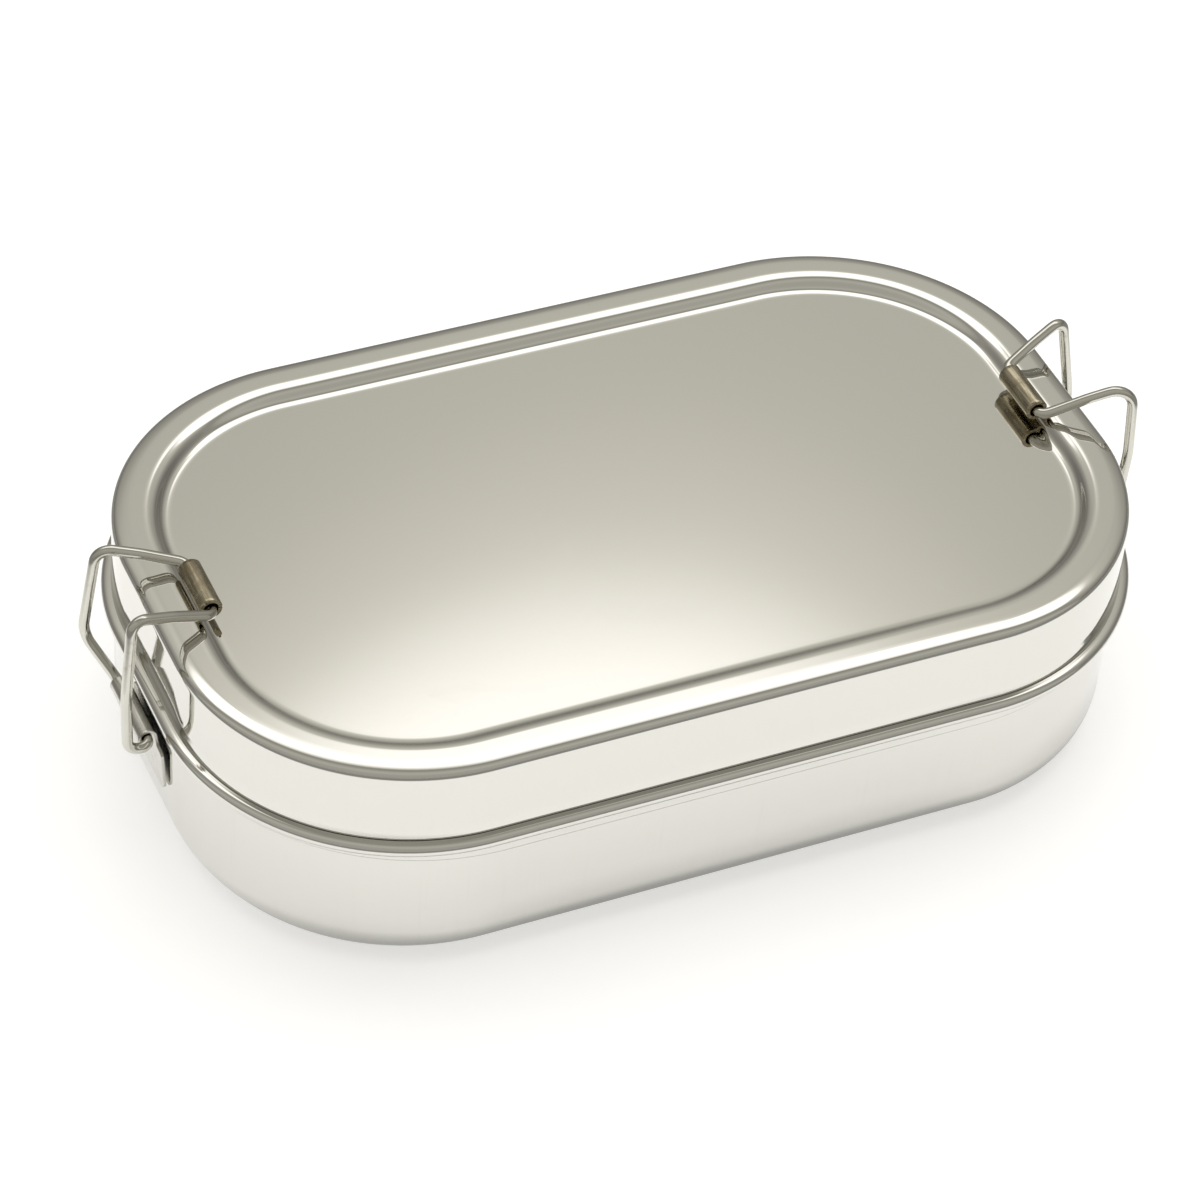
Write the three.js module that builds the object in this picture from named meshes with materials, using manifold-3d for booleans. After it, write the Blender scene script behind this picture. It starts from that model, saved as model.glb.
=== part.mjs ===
// Steel lunch box with a lift-off lid and two wire clamps.
// Millimetres, +Z up. Origin: centre of the base, on the surface it stands on.
// +X runs along the length; one clamp sits on each end (left = -X, right = +X).
import * as THREE from "three";
import { mergeVertices } from "three/addons/utils/BufferGeometryUtils.js";
import Module from "manifold-3d";

const wasm = await Module();
wasm.setup();

// ---------------------------------------------------------------- dimensions
const LENGTH = 200; // lid over its skirt, along X
const WIDTH = 123; // lid over its skirt, along Y
const HEIGHT = 53; // base to the lid's border
const CORNER_R = 47; // lid corner radius in plan, at the skirt
const CORNER_STEPS = 8; // facets per corner
const SHEET = 0.7; // sheet thickness of tray and lid

// lid, depths below the border's top face and insets from the skirt's outside
const SHOULDER_R = 2.4;
const STEP_PROFILE = [
  [6.7, 0], [7.8, 0.18], [8.35, 0.4], [8.9, 0.9], [9.4, 1.6], [9.8, 2.06], [10.3, 2.29], [11.4, 2.4],
];
const SKIRT_DEPTH = 17.2; // border top to the skirt's lower edge

// tray
const BEAD_DEPTH = 19.1; // border top to the bead's centre
const BEAD_R = 1.6;
const BEAD_OUT = 0.7; // bead centre, outward of the skirt
const NECK_INSET = 1.1; // neck's outside, inward of the skirt
const NECK_RISE = 8.6; // neck above the skirt's lower edge
const WALL_OUT = 0.8; // wall just below the bead, outward of the skirt
const WALL_DEPTH = 21.2; // border top to the start of the wall
const WALL_TAPER = 0.03; // inward per mm of depth
const WALL_CORNER_R = 51; // plan corner radius at the top of the wall
const WALL_CORNER_DROP = 0.1; // corner radius lost per mm of depth
const FLOOR_FILLET_H = 13; // rounding into the base, horizontal
const FLOOR_FILLET_V = 9.5; // and vertical
const FILLET_CORNER_K = 1.5; // corner radius lost per mm of fillet

// clamps, offsets outward from the skirt (u) and depths from the border top
const CLAMP_Y = 0.8; // both clamps sit slightly off the middle
const WIRE_R = 1.1;
const PIVOT_U = 3.7;
const PIVOT_DEPTH = 24.6;
const HOOK_HALF = 12.2; // middle of the clamp to the tight bend under the front arm
const SWEEP_HALF = 7.1; // and to where the rear arm sweeps out of the curl
const HOOK_BEND_R = 1.7;
const WIRE_END_HALF = 1.2; // the wire's two ends stop this far from the middle
// knees of each bail, as bent by hand: offset u, half spread, rise over the border, bend radius
const KNEES = {
  right: { near: [7.8, 12.0, 7.7, 4.4], far: [4.5, 13.0, 6.8, 2.8] },
  left: { near: [6.8, 11.6, 8.5, 2.2], far: [5.8, 12.7, 6.0, 3.0] },
};
const ROLLER_U = -10.8;
const ROLLER_RISE = 1.35; // roller axis above the border top
const ROLLER_R = 2.35;
const ROLLER_BORE_R = 1.45;
const ROLLER_LENGTH = 12.6;
const CURL_R = 1.4; // inside radius of the bracket's curl
const BRACKET_Y = -1.3;
const CURL_HALF = 8.3; // half width of the curl
const LEAF_HALF = 10.9; // and of the wider leaf below it
const LEAF_T = 0.65;
const LEAF_SHOULDER_DEPTH = 27; // where the leaf widens
const LEAF_BOTTOM_DEPTH = 37.4;

// ----------------------------------------------------------------- materials
const steel = (roughness) =>
  new THREE.MeshStandardMaterial({ color: 0xcfcdc4, metalness: 1, roughness });
const sleeveMetal = () =>
  new THREE.MeshStandardMaterial({ color: 0x9c9277, metalness: 1, roughness: 0.35 });

// ------------------------------------------------------------ rounded shells
// One plan outline: a rounded rectangle of half sizes hx, hy and corner radius r.
function outline(hx, hy, r, z) {
  const pts = [];
  const corners = [
    [hx - r, hy - r, 0], [-hx + r, hy - r, 90],
    [-hx + r, -hy + r, 180], [hx - r, -hy + r, 270],
  ];
  for (const [cx, cy, start] of corners)
    for (let i = 0; i <= CORNER_STEPS; i++) {
      const a = THREE.MathUtils.degToRad(start + (90 * i) / CORNER_STEPS);
      pts.push([cx + r * Math.cos(a), cy + r * Math.sin(a), z]);
    }
  return pts;
}

// A closed body lofted through outlines, each end filled flat from its middle.
// Rings run from the lower outer face, up and over the edge, to the inner face.
function loft(rings) {
  const n = rings[0].length, position = [], index = [];
  for (const ring of rings) for (const p of ring) position.push(...p);
  for (let k = 0; k + 1 < rings.length; k++)
    for (let i = 0; i < n; i++) {
      const a = k * n + i, b = k * n + ((i + 1) % n), c = a + n, d = b + n;
      index.push(a, b, d, a, d, c);
    }
  const first = position.length / 3;
  position.push(0, 0, rings[0][0][2]);
  const last = first + 1;
  position.push(0, 0, rings[rings.length - 1][0][2]);
  const e = (rings.length - 1) * n;
  for (let i = 0; i < n; i++) {
    const j = (i + 1) % n;
    index.push(first, j, i);
    index.push(last, e + i, e + j);
  }
  const g = new THREE.BufferGeometry();
  g.setAttribute("position", new THREE.Float32BufferAttribute(position, 3));
  g.setIndex(index);
  g.computeVertexNormals();
  return g;
}

// Offsets a profile of [out, z, cornerRadius] points to its left by t.
function offsetProfile(profile, t) {
  return profile.map(([x, z, r], i) => {
    const a = profile[Math.max(i - 1, 0)], b = profile[Math.min(i + 1, profile.length - 1)];
    let n1 = [x - a[0], z - a[1]], n2 = [b[0] - x, b[1] - z];
    const l1 = Math.hypot(...n1) || 1, l2 = Math.hypot(...n2) || 1;
    if (i === 0) n1 = n2.map((v) => (v / l2) * l1);
    if (i === profile.length - 1) n2 = n1.map((v) => (v / l1) * l2);
    const d = [n1[0] / l1 + n2[0] / l2, n1[1] / l1 + n2[1] / l2];
    const l = Math.hypot(...d) || 1;
    const nx = -d[1] / l, nz = d[0] / l;
    const c = Math.max(0.75, l / 2);
    const ox = (nx * t) / c, oz = (nz * t) / c;
    return [x + ox, z + oz, r + ox];
  });
}

const ring = ([out, z, r]) => outline(LENGTH / 2 + out, WIDTH / 2 + out, r, z);

// ---------------------------------------------------------------------- tray
// Outer face from the base up: [out, z, corner radius].
function trayOuter() {
  const wallTop = HEIGHT - WALL_DEPTH;
  const filletTop = FLOOR_FILLET_V;
  const drop = wallTop - filletTop;
  const outAt = (z) => WALL_OUT - WALL_TAPER * (wallTop - z);
  const rAt = (z) => WALL_CORNER_R - WALL_CORNER_DROP * (wallTop - z);
  const p = [];
  for (let i = 0; i <= 6; i++) {
    const a = (Math.PI / 2) * (1 - i / 6);
    const inward = FLOOR_FILLET_H * (1 - Math.cos(a));
    const z = FLOOR_FILLET_V * (1 - Math.sin(a));
    p.push([outAt(z) - inward, z, rAt(z) - FILLET_CORNER_K * inward]);
  }
  p.push([outAt(filletTop + drop / 2), filletTop + drop / 2, rAt(filletTop + drop / 2)]);
  p.push([outAt(wallTop), wallTop, WALL_CORNER_R]);
  // bead: an outward half-round rib
  const zb = HEIGHT - BEAD_DEPTH;
  for (const deg of [-55, -20, 15, 50, 80]) {
    const a = THREE.MathUtils.degToRad(deg);
    const out = BEAD_OUT + BEAD_R * Math.cos(a);
    p.push([out, zb + BEAD_R * Math.sin(a), CORNER_R + out]);
  }
  const neckTop = HEIGHT - SKIRT_DEPTH + NECK_RISE;
  p.push([-NECK_INSET, zb + BEAD_R + 0.1, CORNER_R - NECK_INSET]);
  p.push([-NECK_INSET, neckTop, CORNER_R - NECK_INSET]);
  return p;
}

function makeTray() {
  const outer = trayOuter();
  const neck = outer.slice(-2);
  const below = outer.slice(0, -2);
  // the inside follows the outside one sheet thickness in
  const inner = offsetProfile(outer, SHEET);
  inner[0] = [outer[0][0] - 0.2, SHEET, outer[0][2] - 0.2];
  const top = inner[inner.length - 1];
  top[1] = neck[1][1];
  top[0] = neck[1][0] - SHEET;
  const knee = inner[inner.length - 2];
  knee[0] = neck[0][0] - SHEET;
  const rings = [...below, ...neck, ...inner.reverse()].map(ring);
  return loft(rings);
}

// ----------------------------------------------------------------------- lid
function makeLid() {
  const outer = [];
  for (const [inset, depth] of [...STEP_PROFILE].reverse())
    outer.push([-inset, HEIGHT - depth, CORNER_R - inset]);
  outer.push([-SHOULDER_R, HEIGHT, CORNER_R - SHOULDER_R]);
  for (const deg of [60, 30, 0]) {
    const a = THREE.MathUtils.degToRad(deg);
    const out = -SHOULDER_R + SHOULDER_R * Math.cos(a);
    outer.push([out, HEIGHT - SHOULDER_R + SHOULDER_R * Math.sin(a), CORNER_R + out]);
  }
  outer.push([0, HEIGHT - SKIRT_DEPTH, CORNER_R]);
  // outer runs from the panel outwards and down, so its left side is outside
  const inner = offsetProfile(outer, -SHEET);
  inner[0][1] = outer[0][1] - SHEET;
  inner[0][0] = outer[0][0];
  const end = inner[inner.length - 1];
  end[0] = -SHEET;
  end[1] = HEIGHT - SKIRT_DEPTH;
  end[2] = CORNER_R - SHEET;
  // from the panel's underside out and down, round the lower edge, up and in
  return loft([...inner, ...outer.reverse()].map(ring));
}

// ---------------------------------------------------------------------- wire
// A sweep path with its own point spacing, so that bends get more steps.
class WirePath extends THREE.Curve {
  constructor(points) {
    super();
    this.points = points;
  }
  getPoint(t, target = new THREE.Vector3()) {
    const f = Math.min(Math.max(t, 0), 1) * (this.points.length - 1);
    const i = Math.min(Math.floor(f), this.points.length - 2);
    return target.lerpVectors(this.points[i], this.points[i + 1], f - i);
  }
  getPointAt(u, target) {
    return this.getPoint(u, target);
  }
  getTangent(t, target = new THREE.Vector3()) {
    const n = this.points.length - 1;
    const i = Math.round(Math.min(Math.max(t, 0), 1) * n);
    const a = this.points[Math.max(i - 1, 0)], b = this.points[i], c = this.points[Math.min(i + 1, n)];
    const d1 = b.clone().sub(a), d2 = c.clone().sub(b);
    if (d1.lengthSq() > 0) d1.normalize();
    if (d2.lengthSq() > 0) d2.normalize();
    return target.copy(d1.add(d2).normalize());
  }
  getTangentAt(u, target) {
    return this.getTangent(u, target);
  }
}

// Rounds the corners of a polyline with arcs of the given radii.
function rounded(corners) {
  const out = [];
  corners.forEach(({ p, r, steps = 4 }, i) => {
    if (!r) return out.push(p.clone());
    const a = corners[i - 1].p, b = corners[i + 1].p;
    const d1 = a.clone().sub(p).normalize(), d2 = b.clone().sub(p).normalize();
    const half = d1.angleTo(d2) / 2;
    const cut = r / Math.tan(half);
    const start = p.clone().addScaledVector(d1, cut);
    const centre = p.clone().addScaledVector(d1.clone().add(d2).normalize(), r / Math.sin(half));
    const from = start.clone().sub(centre);
    const end = p.clone().addScaledVector(d2, cut).sub(centre);
    const axis = from.clone().cross(end).normalize();
    const sweep = from.angleTo(end);
    for (let k = 0; k <= steps; k++)
      out.push(centre.clone().add(from.clone().applyAxisAngle(axis, (sweep * k) / steps)));
  });
  return out;
}

function wireGeometry(points, radius, sides) {
  const section = new THREE.Shape();
  for (let i = 0; i < sides; i++) {
    const a = (2 * Math.PI * (i + 0.5)) / sides;
    const x = radius * Math.cos(a), y = radius * Math.sin(a);
    if (i) section.lineTo(x, y);
    else section.moveTo(x, y);
  }
  section.closePath();
  return new THREE.ExtrudeGeometry(section, {
    steps: points.length - 1,
    bevelEnabled: false,
    extrudePath: new WirePath(points),
  });
}

// Half of the bail, from its end in the curl up to the middle of the crossbar.
// Local frame of a clamp: x = u outward from the skirt, y along the pivot, z up.
// The front arm ends in a tight hook; the rear one sweeps out of the curl.
function bailHalf(side, rear, [kneeU, kneeHalf, kneeRise, kneeR]) {
  const V = (u, v, depth) => new THREE.Vector3(u, side * v, HEIGHT - depth);
  const foot = rear
    ? [
        { p: V(PIVOT_U, SWEEP_HALF, PIVOT_DEPTH), r: 2.6, steps: 4 },
        { p: V(8.9, 13.0, 15.2), r: 7, steps: 5 },
      ]
    : [
        { p: V(PIVOT_U, HOOK_HALF, PIVOT_DEPTH), r: HOOK_BEND_R, steps: 5 },
        { p: V(8.35, HOOK_HALF, PIVOT_DEPTH + 0.4), r: HOOK_BEND_R + 1.0, steps: 5 },
        { p: V(8.7, 12.8, 10.5), r: 30, steps: 3 },
      ];
  // the arm bows up a little between its knee and the crossbar
  const t = 0.5, bow = 0.35;
  const mid = V(
    kneeU + (ROLLER_U - kneeU) * t,
    kneeHalf + (8.0 - kneeHalf) * t,
    -(kneeRise + (ROLLER_RISE - kneeRise) * t) - bow,
  );
  return rounded([
    { p: V(PIVOT_U, WIRE_END_HALF, PIVOT_DEPTH) },
    ...foot,
    { p: V(kneeU, kneeHalf, -kneeRise), r: kneeR, steps: 7 },
    { p: mid, r: 14, steps: 2 },
    { p: V(ROLLER_U, 8.0, -ROLLER_RISE), r: 2.3, steps: 7 },
    { p: V(ROLLER_U, 0, -ROLLER_RISE) },
  ]);
}

// The left clamp is turned half round, so its local +y side is the near one.
function makeBail(end) {
  const { near: k1, far: k2 } = KNEES[end];
  const [minus, plus] = end === "left" ? [k2, k1] : [k1, k2];
  const rear = end === "left" ? -1 : 1;
  const near = bailHalf(-1, rear < 0, minus), far = bailHalf(1, rear > 0, plus).reverse();
  return wireGeometry([...near, ...far.slice(1)], WIRE_R, 8);
}

// -------------------------------------------------------------------- roller
function makeRoller() {
  const h = ROLLER_LENGTH / 2;
  const profile = [
    [ROLLER_BORE_R, -h], [ROLLER_R - 0.15, -h], [ROLLER_R, -h + 0.15],
    [ROLLER_R, h - 0.15], [ROLLER_R - 0.15, h], [ROLLER_BORE_R, h], [ROLLER_BORE_R, -h],
  ].map(([x, y]) => new THREE.Vector2(x, y));
  const g = new THREE.LatheGeometry(profile, 20);
  g.translate(ROLLER_U, 0, 0);
  // lathe axis is Y already, so only the height is left to set
  g.translate(0, 0, HEIGHT + ROLLER_RISE);
  return g;
}

// ------------------------------------------------------------------- bracket
function toSolid(geometry) {
  geometry.deleteAttribute("normal");
  geometry.deleteAttribute("uv");
  const merged = mergeVertices(geometry, 1e-4);
  return new wasm.Manifold(new wasm.Mesh({
    numProp: 3,
    vertProperties: merged.attributes.position.array,
    triVerts: new Uint32Array(merged.index.array),
  }));
}

// A plate of the given outline in u and z, centred on the bracket's middle.
function plate(edge, half, hole) {
  const shape = new THREE.Shape(edge.map(([u, h]) => new THREE.Vector2(u, h)));
  if (hole) shape.holes.push(new THREE.Path(hole.map(([u, h]) => new THREE.Vector2(u, h))));
  const g = new THREE.ExtrudeGeometry(shape, { depth: 2 * half, steps: 1, bevelEnabled: false });
  // shape x, y, depth -> x, z, -y
  g.rotateX(Math.PI / 2);
  g.translate(0, half, 0);
  return g;
}

// A bent leaf: it lies on the wall, and its top is rolled outwards into a curl
// that holds the wire. Below the curl the leaf is wider.
function makeBracket() {
  const z = HEIGHT - PIVOT_DEPTH;
  const arc = (r, from, to, n) => {
    const pts = [];
    for (let i = 0; i <= n; i++) {
      const a = THREE.MathUtils.degToRad(from + ((to - from) * i) / n);
      pts.push([PIVOT_U + r * Math.cos(a), z + r * Math.sin(a)]);
    }
    return pts;
  };
  const outerR = CURL_R + LEAF_T;
  const bottom = HEIGHT - LEAF_BOTTOM_DEPTH, shoulder = HEIGHT - LEAF_SHOULDER_DEPTH;
  const low = [[0.64, bottom], [0.64 + LEAF_T, bottom]];
  const high = [[1.28 + LEAF_T, shoulder], [1.28, shoulder]];
  const curl = plate(
    [...low, [1.28 + LEAF_T, shoulder], ...arc(outerR, -135, 180, 18), [1.28, shoulder]],
    CURL_HALF,
    arc(CURL_R, 0, 337.5, 15),
  );
  const leaf = plate([...low, ...high], LEAF_HALF);
  const joined = toSolid(curl).add(toSolid(leaf)).getMesh();
  const g = new THREE.BufferGeometry();
  g.setAttribute("position", new THREE.Float32BufferAttribute(joined.vertProperties, 3));
  g.setIndex([...joined.triVerts]);
  g.computeVertexNormals();
  return g;
}

// ------------------------------------------------------------------ assembly
const lunchBox = new THREE.Group();

function add(name, geometry, material, parent = lunchBox) {
  const mesh = new THREE.Mesh(geometry, material);
  mesh.name = name;
  parent.add(mesh);
  return mesh;
}

add("tray", makeTray(), steel(0.18));
add("lid", makeLid(), steel(0.14));

// Each clamp is built as it sits on the right end, then turned to its own end.
for (const [name, turn] of [["right", 0], ["left", Math.PI]]) {
  const end = new THREE.Group();
  end.rotation.z = turn;
  lunchBox.add(end);
  const place = (y) => {
    const g = new THREE.Group();
    g.position.set(LENGTH / 2, turn ? -y : y, 0);
    end.add(g);
    return g;
  };
  const clamp = place(CLAMP_Y);
  add("bracket_" + name, makeBracket(), steel(0.25), place(BRACKET_Y));
  add("bail_" + name, makeBail(name), steel(0.2), clamp);
  add("roller_" + name, makeRoller(), sleeveMetal(), clamp);
}

export default lunchBox;
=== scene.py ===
import math

import bpy
import numpy as np
from mathutils import Matrix, Vector


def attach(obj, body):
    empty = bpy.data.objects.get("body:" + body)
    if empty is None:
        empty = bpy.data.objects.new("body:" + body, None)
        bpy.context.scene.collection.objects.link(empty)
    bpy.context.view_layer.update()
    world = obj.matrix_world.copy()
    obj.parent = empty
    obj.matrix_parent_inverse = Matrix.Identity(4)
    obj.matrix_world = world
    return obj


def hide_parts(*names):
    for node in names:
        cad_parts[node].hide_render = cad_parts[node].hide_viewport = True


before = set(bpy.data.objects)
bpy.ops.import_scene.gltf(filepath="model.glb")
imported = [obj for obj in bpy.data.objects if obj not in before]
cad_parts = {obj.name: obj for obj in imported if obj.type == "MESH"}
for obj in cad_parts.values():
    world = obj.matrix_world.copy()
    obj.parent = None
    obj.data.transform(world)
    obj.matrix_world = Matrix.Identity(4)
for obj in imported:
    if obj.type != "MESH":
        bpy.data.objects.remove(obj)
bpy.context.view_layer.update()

MM = 0.001

# ------------------------------------------------------------------ sizes (mm)
LENGTH, WIDTH, HEIGHT = 200.0, 123.0, 53.0
CORNER_R = 47.0
SHEET = 0.7
SHOULDER_R = 2.4
# the step from the border down to the panel: (inset, slope in degrees)
STEP_SLOPES = [
    (6.1, 0.0), (6.8, 3.0), (7.3, 9.0), (7.8, 15.5), (8.1, 20.0), (8.35, 27.0), (8.7, 41.0), (9.0, 51.0),
    (9.4, 53.0), (9.7, 46.0), (10.0, 29.0), (10.2, 20.0), (10.5, 11.0), (10.8, 6.0), (11.1, 2.5), (11.6, 0.8), (12.0, 0.0),
]
PANEL_DEPTH = 2.4
SKIRT_DEPTH = 17.2
BEAD_DEPTH, BEAD_R, BEAD_OUT = 19.1, 1.6, 0.7
NECK_INSET, NECK_RISE = 1.1, 8.6
WALL_OUT, WALL_DEPTH, WALL_TAPER = 0.8, 21.2, 0.03
WALL_CORNER_R, WALL_CORNER_DROP = 51.0, 0.1
FILLET_H, FILLET_V, FILLET_CORNER_K = 13.0, 9.5, 1.5
CLAMP_Y = 0.8
WIRE_R = 1.1
PIVOT_U, PIVOT_DEPTH = 3.7, 24.6
HOOK_HALF, SWEEP_HALF, WIRE_END_HALF = 12.2, 7.1, 1.2
# knees of each bail, as bent by hand: offset u, half spread, rise over the border, bend radius
KNEES = {
    "right": {"near": (7.8, 12.0, 7.7, 4.4), "far": (4.5, 13.0, 6.8, 2.8)},
    "left": {"near": (6.8, 11.6, 8.5, 2.2), "far": (5.8, 12.7, 6.0, 3.0)},
}
ROLLER_U, ROLLER_RISE, ROLLER_R, ROLLER_LENGTH = -10.8, 1.35, 2.35, 12.6
CURL_R, BRACKET_Y, CURL_HALF, LEAF_HALF = 1.4, -1.3, 8.3, 10.9
LEAF_T, LEAF_SHOULDER_DEPTH, LEAF_BOTTOM_DEPTH = 0.65, 27.0, 37.4

CORNER_STEPS = 44  # per corner of a shell
LONG_STEPS, SHORT_STEPS = 20, 8


# ------------------------------------------------------------------- meshes
def make_object(name, verts, faces, uvs=None):
    """A smooth-shaded mesh from points in mm. uvs, if given, holds one pair per vertex."""
    mesh = bpy.data.meshes.new(name)
    mesh.from_pydata([tuple(v) for v in np.asarray(verts, float) * MM], [], faces)
    mesh.validate()
    mesh.update()
    mesh.polygons.foreach_set("use_smooth", [True] * len(mesh.polygons))
    if uvs is not None:
        layer = mesh.uv_layers.new(name="UVMap")
        loops = np.zeros(len(mesh.loops), np.int32)
        mesh.loops.foreach_get("vertex_index", loops)
        layer.data.foreach_set("uv", np.asarray(uvs, float)[loops].astype(np.float32).ravel())
    obj = bpy.data.objects.new(name, mesh)
    bpy.context.scene.collection.objects.link(obj)
    return obj


def outline(hx, hy, r, z):
    """A rounded rectangle, its straight sides cut into steps as well."""
    pts = []
    corners = [(hx - r, hy - r, 0), (-hx + r, hy - r, 90), (-hx + r, -hy + r, 180), (hx - r, -hy + r, 270)]
    for k, (cx, cy, start) in enumerate(corners):
        for i in range(CORNER_STEPS + 1):
            a = math.radians(start + 90 * i / CORNER_STEPS)
            pts.append((cx + r * math.cos(a), cy + r * math.sin(a), z))
        nx, ny, nstart = corners[(k + 1) % 4]
        a = math.radians(nstart)
        b = (nx + r * math.cos(a), ny + r * math.sin(a))
        a = pts[-1]
        steps = LONG_STEPS if k % 2 == 0 else SHORT_STEPS
        for i in range(1, steps):
            t = i / steps
            pts.append((a[0] + (b[0] - a[0]) * t, a[1] + (b[1] - a[1]) * t, z))
    return pts


def ring(p):
    out, z, r = p
    return outline(LENGTH / 2 + out, WIDTH / 2 + out, max(r, 0.4), z)


def inward(p, steps, last=-59.8):
    """Rings from p towards the middle at one height, the innermost first."""
    out, z, r = p
    rows = []
    for i in range(steps, 0, -1):
        o = out + (last - out) * i / steps
        rows.append((o, z, max(r - (out - o), 0.4)))
    return rows


def shell(name, profile):
    """A closed shell through rounded-rectangle rings, its first and last ring filled."""
    rings = [ring(p) for p in profile]
    n = len(rings[0])
    verts = [v for rg in rings for v in rg]
    faces = []
    for k in range(len(rings) - 1):
        a, b = k * n, (k + 1) * n
        for i in range(n):
            j = (i + 1) % n
            faces.append((a + i, a + j, b + j, b + i))
    faces.append(tuple(reversed(range(n))))
    last = (len(rings) - 1) * n
    faces.append(tuple(last + i for i in range(n)))
    return make_object(name, verts, faces)


def step_line(count):
    """Samples (inset, depth) down the step, its steep part scaled to end on the panel."""
    x = np.linspace(STEP_SLOPES[0][0], STEP_SLOPES[-1][0], 600)
    knots = np.array(STEP_SLOPES)
    angle = np.interp(x, knots[:, 0], knots[:, 1])
    smooth = np.exp(-0.5 * (np.arange(-24, 25) / 9.0) ** 2)
    angle = np.convolve(np.pad(angle, 24, mode="edge"), smooth / smooth.sum(), mode="valid")
    slope = np.tan(np.radians(angle))
    steep = np.where(angle > 26, slope, 0.0)
    dx = x[1] - x[0]
    slope = slope + steep * ((PANEL_DEPTH / dx - slope.sum()) / steep.sum())
    depth = np.cumsum(slope) * dx
    depth *= PANEL_DEPTH / depth[-1]
    at = np.linspace(x[0], x[-1], count + 1)
    return list(zip(at, np.interp(at, x, depth)))


def offset(profile, t):
    """The profile moved t to its left; its corner radii change with it."""
    p = np.array([(a[0], a[1]) for a in profile], float)
    d = np.zeros_like(p)
    d[1:-1] = p[2:] - p[:-2]
    seg = np.diff(p, axis=0)
    seg /= np.maximum(np.linalg.norm(seg, axis=1, keepdims=True), 1e-9)
    d[0], d[-1] = seg[0], seg[-1]
    d[1:-1] = seg[1:] + seg[:-1]
    d /= np.maximum(np.linalg.norm(d, axis=1, keepdims=True), 1e-9)
    n = np.stack([-d[:, 1], d[:, 0]], 1)
    q = p + n * t
    return [(float(q[i][0]), float(q[i][1]), profile[i][2] + float(q[i][0] - p[i][0])) for i in range(len(p))]


# -------------------------------------------------------------------- the tray
def tray_profile():
    wall_top = HEIGHT - WALL_DEPTH
    out_at = lambda z: WALL_OUT - WALL_TAPER * (wall_top - z)
    r_at = lambda z: WALL_CORNER_R - WALL_CORNER_DROP * (wall_top - z)
    p = []
    steps = 22
    for i in range(steps + 1):
        a = math.pi / 2 * (1 - i / steps)
        inw = FILLET_H * (1 - math.cos(a))
        z = FILLET_V * (1 - math.sin(a))
        p.append((out_at(z) - inw, z, r_at(z) - FILLET_CORNER_K * inw))
    ledge = wall_top - 1.9
    for t in (0.03, 0.08, 0.25, 0.5, 0.75, 0.92, 0.985):
        z = FILLET_V + (ledge - FILLET_V) * t
        p.append((out_at(z), z, r_at(z)))
    # a faint pressed line runs just under the bead
    for dz, o in ((-0.16, 0.0), (-0.08, 0.015), (0.0, 0.05), (0.08, 0.085), (0.16, 0.1)):
        z = ledge + dz
        p.append((out_at(z) + o, z, r_at(z)))
    for z in (ledge + 0.4, ledge + 1.0, wall_top - 0.25):
        p.append((out_at(z) + 0.1, z, r_at(z)))
    # the bead: a small hollow under it, then an outward half-round
    zb = HEIGHT - BEAD_DEPTH
    start = math.radians(-62)
    crest = math.radians(66)
    p.append((WALL_OUT + 0.12, wall_top + 0.05, CORNER_R + WALL_OUT + 3.0))
    p.append((WALL_OUT + 0.2, wall_top + 0.28, CORNER_R + WALL_OUT + 2.0))
    for i in range(21):
        a = start + (crest - start) * i / 20
        out = BEAD_OUT + BEAD_R * math.cos(a)
        p.append((out, zb + BEAD_R * math.sin(a), CORNER_R + out))
    # hollow back to the neck
    neck = -NECK_INSET
    zt = p[-1][1]
    p.append((1.0, zt + 0.1, CORNER_R + 1.0))
    p.append((0.6, zt + 0.16, CORNER_R + 0.6))
    p.append((0.0, zt + 0.17, CORNER_R))
    p.append((-0.6, zt + 0.2, CORNER_R - 0.6))
    p.append((-0.92, zt + 0.34, CORNER_R - 0.92))
    p.append((neck + 0.03, zt + 0.6, CORNER_R + neck))
    p.append((neck, zt + 1.0, CORNER_R + neck))
    top = HEIGHT - SKIRT_DEPTH + NECK_RISE
    p.append((neck, top - 1.2, CORNER_R + neck))
    p.append((neck, top - SHEET / 2 - 0.1, CORNER_R + neck))
    return p, top


def make_tray():
    outer, top = tray_profile()
    neck = -NECK_INSET
    rim = []
    c = (neck - SHEET / 2, top - SHEET / 2)
    for i in range(1, 9):
        a = math.pi * i / 9
        o = c[0] + SHEET / 2 * math.cos(a)
        rim.append((o, c[1] + SHEET / 2 * math.sin(a), CORNER_R + o))
    # the inside keeps its own smooth way past the bead and the neck
    inner = [(o, max(z, SHEET), r) for o, z, r in offset(outer, SHEET)]
    clean = []
    for k, (o, z, r) in enumerate(inner):
        if k and z < clean[-1][1] + 0.004 and k > 3:
            continue
        clean.append((o, z, r))
    clean = [q for q in clean if q[1] < top - SHEET / 2 - 0.02]
    base = (outer[0][0], 0.0, outer[0][2])
    profile = (
        inward(base, 12)
        + outer
        + rim
        + clean[::-1]
        + inward(clean[0], 12)[::-1]
    )
    return shell("tray_shell", profile)


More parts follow.
